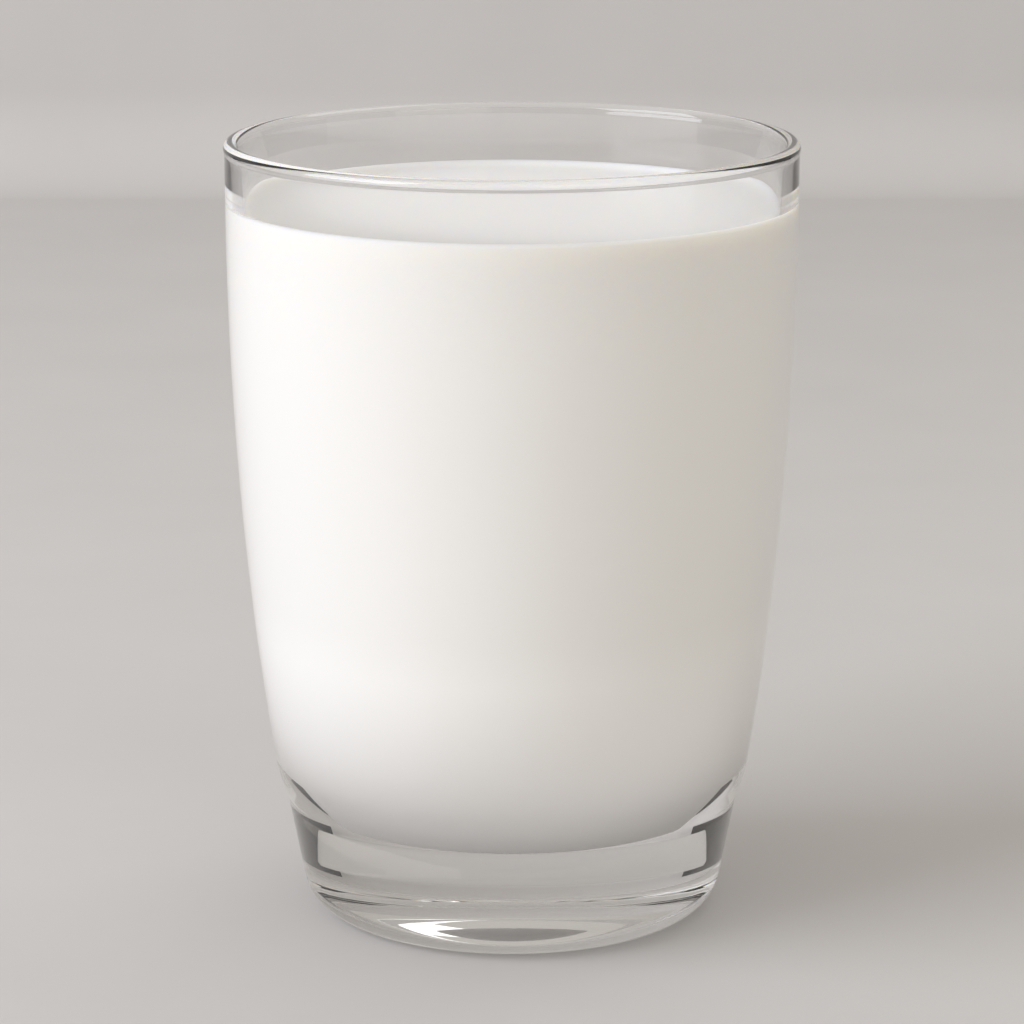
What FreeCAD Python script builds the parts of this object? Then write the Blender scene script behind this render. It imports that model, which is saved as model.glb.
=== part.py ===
"""A glass of milk: a thick-walled, heavy-based tumbler filled nearly to the brim.

The glass stands on z = 0 with its axis along +Z. Both pieces are bodies of
revolution, so each one is the turned outline of its real cross section.
"""
import math
import os

import FreeCAD
import Part

# Sizes in millimetres, angles in degrees.

# Outside of the tumbler
height = 110.2            # table to the top of the lip
rim_diameter = 80.0       # across the bead of the lip
bead_relief = 0.15        # how far the bead stands proud of the wall below it
neck_radius = 1.2         # hollow that runs the bead into the wall
shoulder_drop = 8.2       # lip to where the upright wall begins to lean in
tuck_radius = 20.0        # rounding where the bowl turns in towards the foot
tuck_lean = 22.0          # steepest lean of the wall, between bowl and foot
crease_radius = 10.0      # hollow that turns the wall back to the foot's side
crease_height = 15.4      # top of the foot's straight side
crease_inset = 7.8        # wall radius lost between the shoulder and the crease
foot_taper = 11.0         # lean of the foot's side from upright
heel_radius = 5.3         # rounding between the foot's side and its underside

# Underside of the foot
ring_width = 3.5          # flat ring the glass stands on
punt_depth = 3.5          # hollow pressed into the middle of the underside

# Inside of the tumbler
lip_thickness = 2.0       # fully rounded
shoulder_wall = 2.2       # wall thickness at the shoulder
crease_wall = 1.45        # crease to the inside wall line, at the floor's level
floor_height = 15.0       # table to the inside floor
floor_flat = 5.2          # radius of the flat middle of the floor

# The milk
fill_drop = 8.8           # lip to the level of the milk

# Worked out from the sizes above
rim_radius = rim_diameter / 2
wall_radius = rim_radius - bead_relief
lip_radius = lip_thickness / 2
lip_level = height - lip_radius
shoulder_height = height - shoulder_drop
crease_r = wall_radius - crease_inset
taper = math.radians(foot_taper)
steepest = math.radians(tuck_lean)
base_r = crease_r - crease_height * math.tan(taper)
ring_outer = base_r - heel_radius * (1 - math.sin(taper)) / math.cos(taper)
ring_inner = ring_outer - ring_width
inner_lip_r = rim_radius - lip_thickness
inner_shoulder_r = wall_radius - shoulder_wall
inner_floor_r = crease_r - crease_wall
milk_level = height - fill_drop

AXIS = FreeCAD.Vector(0, 0, 1)
ORIGIN = FreeCAD.Vector(0, 0, 0)


def at(radius, level):
    """A point of the cross section."""
    return FreeCAD.Vector(radius, 0, level)


def line(start, end):
    return Part.LineSegment(start, end).toShape()


def arc(start, middle, end):
    return Part.Arc(start, middle, end).toShape()


def arc_about(centre, start, end):
    """The shorter arc from start to end about a centre."""
    middle = ((start + end) * 0.5 - centre).normalize() * (start - centre).Length
    return arc(start, centre + middle, end)


def turned(edges):
    """The solid swept by a closed cross section turned about the axis."""
    face = Part.Face(Part.Wire(edges))
    return Part.makeSolid(face.revolve(ORIGIN, AXIS, 360).Shells[0])


def lip_edges():
    """Over the lip, from its inside to the wall: a full round that bulges past
    the wall as a bead, and the small hollow that runs the bead into the wall."""
    centre = at(rim_radius - lip_radius, lip_level)
    across = wall_radius + neck_radius - centre.x
    drop = math.sqrt((lip_radius + neck_radius) ** 2 - across ** 2)
    hollow = at(wall_radius + neck_radius, lip_level - drop)
    meet = centre + (hollow - centre) * (lip_radius / (lip_radius + neck_radius))
    neck = at(wall_radius, hollow.z)
    return [arc(at(inner_lip_r, lip_level), at(centre.x, height), meet),
            arc_about(hollow, meet, neck),
            line(neck, at(wall_radius, shoulder_height))]


def square_to(lean):
    """The direction square to a wall that leans in towards its foot."""
    return at(math.cos(lean), -math.sin(lean))


def lean_where_they_meet(centre):
    """The lean of the wall where the barrel runs on from the tuck. An ellipse
    that is upright at the shoulder has one lean at each point it can pass
    through, and halving finds the point of the tuck that leans just as much."""
    low, high = 0, steepest
    for _ in range(50):
        lean = (low + high) / 2
        point = centre + square_to(lean) * tuck_radius
        drop = shoulder_height - point.z
        if math.tan(lean) < (wall_radius ** 2 - point.x ** 2) / (drop * point.x):
            low = lean
        else:
            high = lean
    return lean


def wall_edges():
    """From the shoulder to the crease, with no kink between the parts: the
    barrel, which is part of a tall ellipse, the tuck that turns it in to its
    steepest lean, and the hollow that turns it back to the side of the foot."""
    crease = at(crease_r, crease_height)
    hollow = crease + square_to(taper) * crease_radius
    turn = hollow - square_to(steepest) * crease_radius
    tuck = turn - square_to(steepest) * tuck_radius
    meet = tuck + square_to(lean_where_they_meet(tuck)) * tuck_radius

    half_height = (shoulder_height - meet.z) / math.sqrt(1 - (meet.x / wall_radius) ** 2)
    ellipse = Part.Ellipse(at(0, shoulder_height - half_height),
                           at(wall_radius, shoulder_height),
                           at(0, shoulder_height))
    ends = sorted(ellipse.parameter(point) for point in
                  (meet, at(wall_radius, shoulder_height)))
    return [Part.ArcOfEllipse(ellipse, *ends).toShape(),
            arc_about(tuck, meet, turn),
            arc_about(hollow, turn, crease)]


def foot_edges():
    """From the crease down the foot's straight side, round the heel, across the
    flat ring that the glass stands on, and over the shallow dome of the punt."""
    heel = at(ring_outer, heel_radius)
    side_end = heel + at(math.cos(taper), -math.sin(taper)) * heel_radius
    dome_radius = (ring_inner ** 2 + punt_depth ** 2) / (2 * punt_depth)
    half = ring_inner / 2
    half_rise = punt_depth - dome_radius + math.sqrt(dome_radius ** 2 - half ** 2)
    return [line(at(crease_r, crease_height), side_end),
            arc_about(heel, side_end, at(ring_outer, 0)),
            line(at(ring_outer, 0), at(ring_inner, 0)),
            arc(at(ring_inner, 0), at(half, half_rise), at(0, punt_depth))]


def inside_edges(top):
    """The inside of the glass, from the middle of its floor up to a level. Its
    wall is one long arc through the lip, the shoulder and the floor's level. The
    corner is the one arc that meets both it and the edge of the flat floor
    without a kink, so the bottom is nearly a bowl."""
    wall = Part.Circle(at(inner_lip_r, lip_level),
                       at(inner_shoulder_r, shoulder_height),
                       at(inner_floor_r, floor_height))
    side = math.copysign(1, inner_shoulder_r - wall.Center.x)

    def wall_point(level):
        reach = math.sqrt(wall.Radius ** 2 - (level - wall.Center.z) ** 2)
        return at(wall.Center.x + side * reach, level)

    floor_edge = at(floor_flat, floor_height)
    apart = floor_edge - wall.Center
    corner_radius = ((wall.Radius ** 2 - apart.dot(apart))
                     / (2 * (apart.z + side * wall.Radius)))
    corner = floor_edge + AXIS * corner_radius
    meet = wall.Center + (corner - wall.Center).normalize() * wall.Radius
    return [line(at(0, floor_height), floor_edge),
            arc_about(corner, floor_edge, meet),
            arc(meet, wall_point((meet.z + top) / 2), wall_point(top))]


def tumbler():
    """Pressed clear glass in one piece: foot, barrel-shaped wall and rounded lip."""
    axis_line = line(at(0, punt_depth), at(0, floor_height))
    return turned(inside_edges(lip_level) + lip_edges() + wall_edges()
                  + foot_edges() + [axis_line])


def milk():
    """The milk: it fills the inside of the glass from the floor to its level."""
    inside = inside_edges(milk_level)
    edge = inside[-1].valueAt(inside[-1].LastParameter)
    return turned(inside + [line(edge, at(0, milk_level)),
                            line(at(0, milk_level), at(0, floor_height))])


os.makedirs("parts", exist_ok=True)
tumbler().exportStep("parts/tumbler.step")
milk().exportStep("parts/milk.step")
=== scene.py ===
"""A glass of milk: a clear heavy-based tumbler, filled nearly to the brim."""

import bpy
import numpy as np
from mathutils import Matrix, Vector


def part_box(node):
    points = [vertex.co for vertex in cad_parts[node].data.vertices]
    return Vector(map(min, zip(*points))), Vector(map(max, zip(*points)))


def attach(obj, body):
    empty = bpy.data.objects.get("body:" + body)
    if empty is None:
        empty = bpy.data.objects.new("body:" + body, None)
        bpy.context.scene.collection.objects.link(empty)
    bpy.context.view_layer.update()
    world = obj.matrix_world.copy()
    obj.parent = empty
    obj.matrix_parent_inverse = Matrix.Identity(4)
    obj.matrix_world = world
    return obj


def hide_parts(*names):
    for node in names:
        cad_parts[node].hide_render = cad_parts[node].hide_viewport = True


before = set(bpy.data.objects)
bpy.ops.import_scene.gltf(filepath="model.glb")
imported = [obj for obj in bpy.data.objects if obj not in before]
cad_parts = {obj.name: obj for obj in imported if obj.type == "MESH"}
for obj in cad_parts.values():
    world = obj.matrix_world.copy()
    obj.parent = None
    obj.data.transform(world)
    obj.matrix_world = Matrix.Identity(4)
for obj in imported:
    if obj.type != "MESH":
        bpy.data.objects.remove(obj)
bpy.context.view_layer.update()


# ---------------------------------------------------------------- the tumbler
# One piece of clear soda-lime glass, pressed in a mould: a thick foot hollowed
# underneath, a crease above it, and a barrel-shaped wall with a round bottom. The
# lip is melted round in a flame, which leaves a small bead proud of the wall.
low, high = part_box("tumbler")
RIM = (high.x - low.x) / 2
HEIGHT = high.z
MM = 0.001                          # one millimetre, in metres

LIP = 1.0 * MM                      # radius of the fully rounded lip
WALL = RIM - 0.15 * MM              # outside of the wall under the bead
NECK = 1.2 * MM                     # hollow that runs the bead into the wall
SHOULDER = HEIGHT - 8.2 * MM        # the wall is upright above this
TUCK = 20.0 * MM                    # rounding where the bowl turns in
STEEPEST = np.radians(22)           # steepest lean, between bowl and foot
HOLLOW = 10.0 * MM                  # hollow that turns the wall back to the foot
CREASE = (WALL - 7.8 * MM, 15.4 * MM)   # radius and height of the foot's top edge
TAPER = np.radians(11)              # lean of the foot's side
HEEL = 5.3 * MM                     # rounding under the foot's side
RING = 3.5 * MM                     # flat ring the glass stands on
PUNT = 3.5 * MM                     # hollow in the middle of the underside
FLOOR = 15.0 * MM                   # height of the inside floor
FLAT = 5.2 * MM                     # radius of the floor's flat middle
INNER_LIP = RIM - 2.0 * MM
INNER_SHOULDER = WALL - 2.2 * MM
INNER_FLOOR = CREASE[0] - 1.45 * MM
GLASS_AROUND = 200                  # segments about the axis
SAME_POINT = 1e-8                   # outline points closer than this are one
HALVINGS = 50                       # enough to find a lean to the last digit


def arc(centre, radius, start, end, count):
    """Points (radius, height) of an arc: the centre plus the radius times the
    cosine and sine of angles spaced evenly from start to end."""
    angle = np.linspace(start, end, count)
    return np.stack([centre[0] + radius * np.cos(angle),
                     centre[1] + radius * np.sin(angle)], 1)


def run(start, end, count):
    """Points (radius, height) spaced evenly along a straight line."""
    share = np.linspace(0, 1, count)[:, None]
    return np.asarray(start) * (1 - share) + np.asarray(end) * share


def angle_of(centre, point):
    """The angle of a point as seen from a centre, for use with arc."""
    return np.arctan2(point[1] - centre[1], point[0] - centre[0])


def circle_through(a, b, c):
    """Centre and radius of the circle through three points, from the two lines
    that lie halfway between them."""
    rows = 2 * np.array([[b[0] - a[0], b[1] - a[1]], [c[0] - a[0], c[1] - a[1]]])
    sides = [b[0] ** 2 - a[0] ** 2 + b[1] ** 2 - a[1] ** 2,
             c[0] ** 2 - a[0] ** 2 + c[1] ** 2 - a[1] ** 2]
    centre = np.linalg.solve(rows, sides)
    return centre, np.hypot(a[0] - centre[0], a[1] - centre[1])


def square_to(lean):
    """The direction square to a wall that leans in towards its foot."""
    return np.array([np.cos(lean), -np.sin(lean)])


def meeting_lean(centre):
    """The lean of the wall where the barrel's ellipse runs on from the tuck.
    Halving finds the point of the tuck where the ellipse through it, upright at
    the shoulder, leans just as much."""
    less, more = 0, STEEPEST
    for _ in range(HALVINGS):
        lean = (less + more) / 2
        radius, level = centre + square_to(lean) * TUCK
        if np.tan(lean) < (WALL ** 2 - radius ** 2) / ((SHOULDER - level) * radius):
            less = lean
        else:
            more = lean
    return lean


def outside_outline():
    """Half the tumbler's section from the middle of its underside, over the
    punt, ring, heel, foot, hollow, tuck, barrel and neck, to the inside of the
    lip. The barrel is an ellipse: its radius is the wall's times the root of one
    less the squared share of the way down."""
    base = CREASE[0] - CREASE[1] * np.tan(TAPER)
    ring_outer = base - HEEL * (1 - np.sin(TAPER)) / np.cos(TAPER)
    ring_inner = ring_outer - RING
    dome = (ring_inner ** 2 + PUNT ** 2) / (2 * PUNT)
    reach = np.linspace(0, ring_inner, num=72)
    punt = np.stack([reach, PUNT - dome + np.sqrt(dome ** 2 - reach ** 2)], 1)
    ring = run((ring_inner, 0), (ring_outer, 0), count=6)
    heel = arc((ring_outer, HEEL), HEEL, -np.pi / 2, -TAPER, count=40)
    foot = run(heel[-1], CREASE, count=20)

    hollow = CREASE + square_to(TAPER) * HOLLOW
    turn = hollow - square_to(STEEPEST) * HOLLOW
    tuck = turn - square_to(STEEPEST) * TUCK
    lean = meeting_lean(tuck)
    under = arc(hollow, HOLLOW, np.pi - TAPER, np.pi - STEEPEST, count=24)
    over = arc(tuck, TUCK, -STEEPEST, -lean, count=28)
    radius, level = over[-1]
    half = (SHOULDER - level) / np.sqrt(1 - (radius / WALL) ** 2)
    level = np.linspace(level, SHOULDER, num=84)
    barrel = np.stack([WALL * np.sqrt(1 - ((SHOULDER - level) / half) ** 2), level], 1)

    bead = np.array([RIM - LIP, HEIGHT - LIP])
    across = WALL + NECK - bead[0]
    groove = np.array([WALL + NECK, bead[1] - np.sqrt((LIP + NECK) ** 2 - across ** 2)])
    upright = run((WALL, SHOULDER), (WALL, groove[1]), count=10)
    neck = arc(groove, NECK, np.pi, angle_of(groove, bead), count=8)
    lip = arc(bead, LIP, angle_of(bead, groove), np.pi, count=40)
    return [punt, ring, heel, foot, under, over, barrel, upright, neck, lip]


def inside_outline(top, reach=0.0):
    """Half the section of the inside, from a level at the top down the wall,
    round the corner and in to the middle of the floor, moved out by a reach. The
    wall is one long arc through the lip, the shoulder and the floor's level, and
    the corner is the arc that meets both it and the flat floor without a kink."""
    centre, radius = circle_through((INNER_LIP, HEIGHT - LIP),
                                    (INNER_SHOULDER, SHOULDER),
                                    (INNER_FLOOR, FLOOR))
    apart = np.array([FLAT, FLOOR]) - centre
    bend = (radius ** 2 - apart @ apart) / (2 * (apart[1] + radius))
    corner = np.array([FLAT, FLOOR + bend])
    turn = angle_of(centre, corner)
    radius, bend = radius + reach, bend + reach
    wall = arc(centre, radius, np.arcsin((top - centre[1]) / radius), turn, count=96)
    rounded = arc(corner, bend, turn, -np.pi / 2, count=64)
    return [wall, rounded, run(rounded[-1], (0, FLOOR - reach), count=12)]


def joined(pieces):
    """One outline from pieces that share their ends."""
    points = np.concatenate(pieces)
    step = np.hypot(*np.diff(points, axis=0).T)
    return points[np.concatenate([[True], step > SAME_POINT])]


def put_in_scene(name, points, faces, smooth=True):
    """A piece of points and faces, at the origin."""
    mesh = bpy.data.meshes.new(name)
    mesh.from_pydata(points, [], faces)
    mesh.polygons.foreach_set("use_smooth", np.full(len(mesh.polygons), smooth))
    piece = bpy.data.objects.new(name, mesh)
    bpy.context.scene.collection.objects.link(piece)
    return piece


def turned(name, outline, segments):
    """The surface swept by an outline about the axis: each outline point turned
    to evenly spaced angles, with the two ends closed to single points."""
    angle = np.arange(segments) * 2 * np.pi / segments
    ring_r, ring_z = outline[1:-1].T
    points = np.stack([ring_r[:, None] * np.cos(angle),
                       ring_r[:, None] * np.sin(angle),
                       np.repeat(ring_z[:, None], segments, 1)], 2).reshape(-1, 3)
    first, last = len(points), len(points) + 1
    points = np.concatenate([points, [[0, 0, outline[0, 1]], [0, 0, outline[-1, 1]]]])
    here = np.arange(segments)
    beside = (here + 1) % segments
    row = np.arange(len(ring_r) - 1)[:, None] * segments
    quads = np.stack([row + here, row + beside,
                      row + beside + segments, row + here + segments], 2).reshape(-1, 4)
    end = (len(ring_r) - 1) * segments
    start_fan = np.stack([np.full(segments, first), beside, here], 1)
    end_fan = np.stack([np.full(segments, last), end + here, end + beside], 1)
    faces = quads.tolist() + start_fan.tolist() + end_fan.tolist()
    return put_in_scene(name, points, faces)


glass = turned("clear_tumbler",
               joined(outside_outline() + inside_outline(HEIGHT - LIP)), GLASS_AROUND)

FOOT_GREY_AND_SHADE = (0.74, 0.735, 0.72, 1)  # the thick foot is less clear than the wall, and partly painted shade for the shaded table seen through it
CLEAR = (1, 1, 1, 1)
GREY_AND_SHADE_BELOW = FLOOR - 1 * MM
CLEAR_ABOVE = FLOOR + 2 * MM
WAVE_HEIGHT = 0.04 * MM             # of the faint waves in the pressed surface

# The kind of ray, and the shares of it that pass into the glass and out again.
STRAIGHT_THROUGH = (("Is Diffuse Ray", 0.50, 1.0), ("Is Shadow Ray", 0.40, 0.95))


def new_material(name):
    """A new material, with its nodes, its links and its shader."""
    material = bpy.data.materials.new(name)
    material.use_nodes = True
    nodes = material.node_tree.nodes
    return material, nodes, material.node_tree.links, nodes["Principled BSDF"]


def noise(nodes, links, scale, detail):
    """Smooth noise that is fixed to the piece."""
    place = nodes.new("ShaderNodeTexCoord")
    pattern = nodes.new("ShaderNodeTexNoise")
    pattern.inputs["Scale"].default_value = scale
    pattern.inputs["Detail"].default_value = detail
    links.new(place.outputs["Object"], pattern.inputs["Vector"])
    return pattern.outputs["Fac"]


def height_on_piece(nodes, links):
    """The height of a point of the piece above the table."""
    place = nodes.new("ShaderNodeTexCoord")
    parts = nodes.new("ShaderNodeSeparateXYZ")
    links.new(place.outputs["Object"], parts.inputs["Vector"])
    return parts.outputs["Z"]


def shaded(nodes, links, source, first, second, start=0.0, end=1.0):
    """A colour that runs evenly from the first to the second while the source
    goes from start to end."""
    ramp = nodes.new("ShaderNodeValToRGB")
    for stop, place, colour in zip(ramp.color_ramp.elements, (start, end), (first, second)):
        stop.position = place
        stop.color = colour
    links.new(source, ramp.inputs["Fac"])
    return ramp.outputs["Color"]


def clear_glass():
    """Clear glass with the faint waviness that a pressed wall keeps, and grey in its
    foot: partly the thick glass's own, partly painted shade for the shaded table
    seen through it. Rays that gather the light on a matt surface pass straight
    through it. Fewer of them get in, where Backfacing is 0, than out."""
    material, nodes, links, shader = new_material("pressed_clear_glass")
    shader.inputs["Roughness"].default_value = 0.0
    shader.inputs["IOR"].default_value = 1.51
    shader.inputs["Transmission Weight"].default_value = 1.0
    # painted shade: the foot is greyed beyond its own grey, for the shaded table seen
    # through it
    foot_grey_and_shade = shaded(nodes, links, height_on_piece(nodes, links),
                  FOOT_GREY_AND_SHADE, CLEAR, GREY_AND_SHADE_BELOW, CLEAR_ABOVE)
    links.new(foot_grey_and_shade, shader.inputs["Base Color"])

    bump = nodes.new("ShaderNodeBump")
    bump.inputs["Strength"].default_value = 0.15
    bump.inputs["Distance"].default_value = WAVE_HEIGHT
    links.new(noise(nodes, links, scale=60, detail=1), bump.inputs["Height"])
    links.new(bump.outputs["Normal"], shader.inputs["Normal"])

    path = nodes.new("ShaderNodeLightPath")
    side = nodes.new("ShaderNodeNewGeometry")
    surface = shader.outputs["BSDF"]
    for ray, share_in, share_out in STRAIGHT_THROUGH:
        share = nodes.new("ShaderNodeMapRange")
        share.inputs["To Min"].default_value = share_in
        share.inputs["To Max"].default_value = share_out
        links.new(side.outputs["Backfacing"], share.inputs["Value"])
        through = nodes.new("ShaderNodeBsdfTransparent")
        links.new(share.outputs["Result"], through.inputs["Color"])
        either = nodes.new("ShaderNodeMixShader")
        links.new(path.outputs[ray], either.inputs["Fac"])
        links.new(surface, either.inputs[1])
        links.new(through.outputs["BSDF"], either.inputs[2])
        surface = either.outputs["Shader"]
    links.new(surface, nodes["Material Output"].inputs["Surface"])
    return material


glass.data.materials.append(clear_glass())
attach(glass, "root")
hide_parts("tumbler")


# ------------------------------------------------------------------- the milk
# Whole milk, poured in to about 9 mm below the lip. It lies against the glass all
# round, and climbs it a little at its edge, as any liquid that wets it does.
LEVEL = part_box("milk")[1].z
REACH = 0.06 * MM                   # how far it reaches into the glass
RISE = 0.9 * MM                     # how far the edge stands above the middle
CONTACT = LEVEL + 0.4 * RISE        # where the edge meets the glass
CREEP = 1.3 * MM                    # how far from the wall the climb fades out
CROWDING = 0.002                    # the less, the more points crowd to the surface's edge
MILK_AROUND = 192                   # segments about the axis
LOOKS_UP = 0.3                      # least upward part of a top face's normal

PAINTED_LIGHT_WHITE = (1.0, 0.995, 0.985, 1)      # painted light: the milk towards its bottom, lighter for the light the thick foot pipes up into it
PAINTED_LIGHT_FULL_BELOW = FLOOR + 4 * MM
PAINTED_LIGHT_ENDS_ABOVE = FLOOR + 32 * MM
SCATTER = 2.0 * MM                  # how far light spreads inside the milk
SCATTER_TINT = (1.0, 0.85, 0.6)     # red light spreads the furthest
SCATTERS_ABOVE = LEVEL - 5 * MM     # behind the glass, light spreads only near the top
MATT_BELOW = LEVEL - 18 * MM


def milk_outline():
    """Half the milk's section, from the middle of the floor up the inside of the
    glass and in to the middle of its surface. The surface's height is that of its
    middle plus the rise times a falling exponential of the distance from the
    wall."""
    sides = inside_outline(CONTACT, REACH)
    edge = sides[0][0, 0]
    out = 1 - np.geomspace(1, CROWDING, num=60)
    radius = edge * out / out[-1]
    level = CONTACT - RISE + RISE * np.exp(-(edge - radius) / CREEP)
    return joined([np.stack([radius, level], 1), *sides])[::-1]


milk = turned("whole_milk", milk_outline(), MILK_AROUND)


def whole_milk(name, thin, rich, shine):
    """Milk: light scatters deep inside it, and a little cream drifts through it,
    from the thin colour to the rich one."""
    material, nodes, links, shader = new_material(name)
    shader.inputs["Roughness"].default_value = 0.25
    shader.inputs["IOR"].default_value = 1.35
    shader.inputs["Specular IOR Level"].default_value = shine
    shader.inputs["Subsurface Weight"].default_value = 1.0
    shader.inputs["Subsurface Radius"].default_value = SCATTER_TINT
    shader.inputs["Subsurface Scale"].default_value = SCATTER
    cream = shaded(nodes, links, noise(nodes, links, scale=35, detail=3), thin, rich)
    links.new(cream, shader.inputs["Base Color"])
    return material, nodes, links, shader, cream


def milk_open_surface():
    """The top of the milk, which shines softly."""
    return whole_milk("milk_open_surface", thin=(0.982, 0.975, 0.958, 1),
                      rich=(0.988, 0.983, 0.970, 1), shine=0.5)[0]


def milk_against_glass():
    """Milk behind the glass: no shine of its own, matt away from its top, darker
    than the open surface as painted shade for the light the glass takes, and
    whiter towards its bottom as painted light that the thick foot pipes up."""
    # painted shade: these tones are darker than the open surface's, for the light the glass
    # takes
    material, nodes, links, shader, cream = whole_milk(
        "milk_against_glass", thin=(0.868, 0.858, 0.836, 1),
        rich=(0.884, 0.875, 0.856, 1), shine=0.0)
    height = height_on_piece(nodes, links)
    deep = nodes.new("ShaderNodeMapRange")
    deep.inputs["From Min"].default_value = MATT_BELOW
    deep.inputs["From Max"].default_value = SCATTERS_ABOVE
    links.new(height, deep.inputs["Value"])
    links.new(deep.outputs["Result"], shader.inputs["Subsurface Weight"])
    # painted light: the milk runs whiter towards its bottom, for the light the thick foot
    # pipes up into it
    bottom = nodes.new("ShaderNodeMapRange")
    bottom.inputs["From Min"].default_value = PAINTED_LIGHT_ENDS_ABOVE
    bottom.inputs["From Max"].default_value = PAINTED_LIGHT_FULL_BELOW
    links.new(height, bottom.inputs["Value"])
    whiter = nodes.new("ShaderNodeMix")
    whiter.data_type = "RGBA"
    whiter.inputs["B"].default_value = PAINTED_LIGHT_WHITE
    links.new(bottom.outputs["Result"], whiter.inputs["Factor"])
    links.new(cream, whiter.inputs["A"])
    links.new(whiter.outputs["Result"], shader.inputs["Base Color"])
    return material


def faces_of_open_surface(piece):
    """Which faces of the milk are its top: those that look up near its level."""
    faces = piece.data.polygons
    normal = np.zeros(len(faces) * 3)
    centre = np.zeros(len(faces) * 3)
    faces.foreach_get("normal", normal)
    faces.foreach_get("center", centre)
    return (normal[2::3] > LOOKS_UP) & (centre[2::3] > LEVEL - RISE)


milk.data.materials.append(milk_open_surface())
milk.data.materials.append(milk_against_glass())
milk.data.polygons.foreach_set("material_index",
                               (~faces_of_open_surface(milk)).astype(np.int32))
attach(milk, "root")
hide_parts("milk")


# ------------------------------------------------- floor, backdrop and lights
# A plain pale table top that curves up into a plain backdrop, and two low black
# cards, hidden from the camera, that darken the edges of the glass: painted shade,
# for the shade on the table seen through the foot. The main soft light is high on
# the left, a weak warm one fills from the front right, a small one is above, behind.
TABLE = 2.5                         # reach of the table to the front and the sides
BACKDROP = 0.652                    # distance from the glass to where the table curves up
COVE = 0.03                         # radius of that curve
BACKDROP_TOP = 0.5
PALE_GREY = (0.59, 0.573, 0.563)
MOTTLE = 0.04                       # how far the table's tone strays, as a share
CARD_NEAR = (0.88, 0.0)             # the card's two ends, as seen from above
CARD_FAR = (0.49, 0.61)
CARD_HEIGHT = 0.09


def pale_table():
    """A matt surface with a faint, broad mottling."""
    material, nodes, links, shader = new_material("pale_grey")
    darker, lighter = (tuple(tone * share for tone in PALE_GREY) + (1,)
                       for share in (1 - MOTTLE, 1 + MOTTLE))
    mottled = shaded(nodes, links, noise(nodes, links, scale=18, detail=4), darker, lighter)
    links.new(mottled, shader.inputs["Base Color"])
    shader.inputs["Roughness"].default_value = 0.7
    shader.inputs["Specular IOR Level"].default_value = 0.2
    return material


def painted_shade_card():
    """Matt black, for the cards that put painted shade in the glass."""
    material, _, _, shader = new_material("painted_shade_card")
    shader.inputs["Base Color"].default_value = (0.03, 0.03, 0.03, 1)
    shader.inputs["Roughness"].default_value = 0.9
    return material


def sweep(name, across, line, material):
    """A sheet that runs across in X and follows a line of (Y, Z) points."""
    line = np.asarray(line)
    side = np.array([-across, across])
    points = np.stack([np.repeat(side, len(line)), np.tile(line[:, 0], 2),
                       np.tile(line[:, 1], 2)], 1)
    here = np.arange(len(line) - 1)
    faces = np.stack([here, here + len(line), here + len(line) + 1, here + 1], 1)
    sheet = put_in_scene(name, points, faces.tolist())
    sheet.data.materials.append(material)


def low_shade_card(name, side, material):
    """A low upright card that stands on the table beside the glass, well clear of
    it, so that the edges of the glass look dark: painted shade, for the shade on
    the table seen through the foot. The camera sees it only in the glass. The
    sign of side is its side."""
    (near_x, near_y), (far_x, far_y) = CARD_NEAR, CARD_FAR
    points = [(side * near_x, near_y, 0), (side * far_x, far_y, 0),
              (side * far_x, far_y, CARD_HEIGHT), (side * near_x, near_y, CARD_HEIGHT)]
    card = put_in_scene(name, points, [(0, 1, 2, 3)], smooth=False)
    card.data.materials.append(material)
    card.visible_camera = False


# painted shade: black cards seen only in the glass, for the shade on the table seen through
# the foot
black = painted_shade_card()
low_shade_card("shade_card_left", -1, black)
low_shade_card("shade_card_right", 1, black)

cove = arc((BACKDROP, COVE), COVE, -np.pi / 2, 0, count=24)
sweep("table_and_backdrop", TABLE, [(-TABLE, 0), *cove, (cove[-1, 0], BACKDROP_TOP)],
      pale_table())


def softbox(name, at, towards, size, power, colour=(1, 1, 1)):
    """A rectangular soft light that faces a point."""
    light = bpy.data.lights.new(name, "AREA")
    light.shape = "RECTANGLE"
    light.size, light.size_y = size
    light.energy = power
    light.color = colour
    lamp = bpy.data.objects.new(name, light)
    lamp.location = at
    lamp.rotation_euler = (Vector(towards) - Vector(at)).to_track_quat("-Z", "Y").to_euler()
    bpy.context.scene.collection.objects.link(lamp)


softbox("main_left", at=(-1.00, -0.42, 0.68), towards=(0, 0, 0.05), size=(1.0, 0.8),
        power=12.2, colour=(0.96, 0.99, 1.06))
softbox("fill_right", at=(0.60, -1.00, 0.50), towards=(0, 0, 0.05), size=(0.9, 0.7),
        power=1.5, colour=(1.0, 0.92, 0.78))
softbox("overhead_back", at=(0.30, 0.35, 0.80), towards=(0, 0, 0.08), size=(0.5, 0.4),
        power=0.8)

world = bpy.data.worlds.new("soft_room")
world.use_nodes = True
room_light = world.node_tree.nodes["Background"]
room_light.inputs["Color"].default_value = (0.80, 0.765, 0.71, 1)
room_light.inputs["Strength"].default_value = 0.74
bpy.context.scene.world = world
bpy.context.scene.view_settings.view_transform = "Standard"


# ----------------------------------------------------------------- the camera
# A long lens close to the table, looking a little down into the glass, with the
# glass in the middle of the frame.
EYE_DISTANCE = 0.550
EYE_HEIGHT = 0.1872
LOOK_DOWN = 13.32                   # degrees below level

camera = bpy.data.cameras.new("camera")
camera.sensor_width = 36
camera.lens = 140.3
camera.clip_start = 0.01
viewer = bpy.data.objects.new("camera", camera)
viewer.location = (0, -EYE_DISTANCE, EYE_HEIGHT)
viewer.rotation_euler = (np.radians(90 - LOOK_DOWN), 0, 0)
bpy.context.scene.collection.objects.link(viewer)
bpy.context.scene.camera = viewer
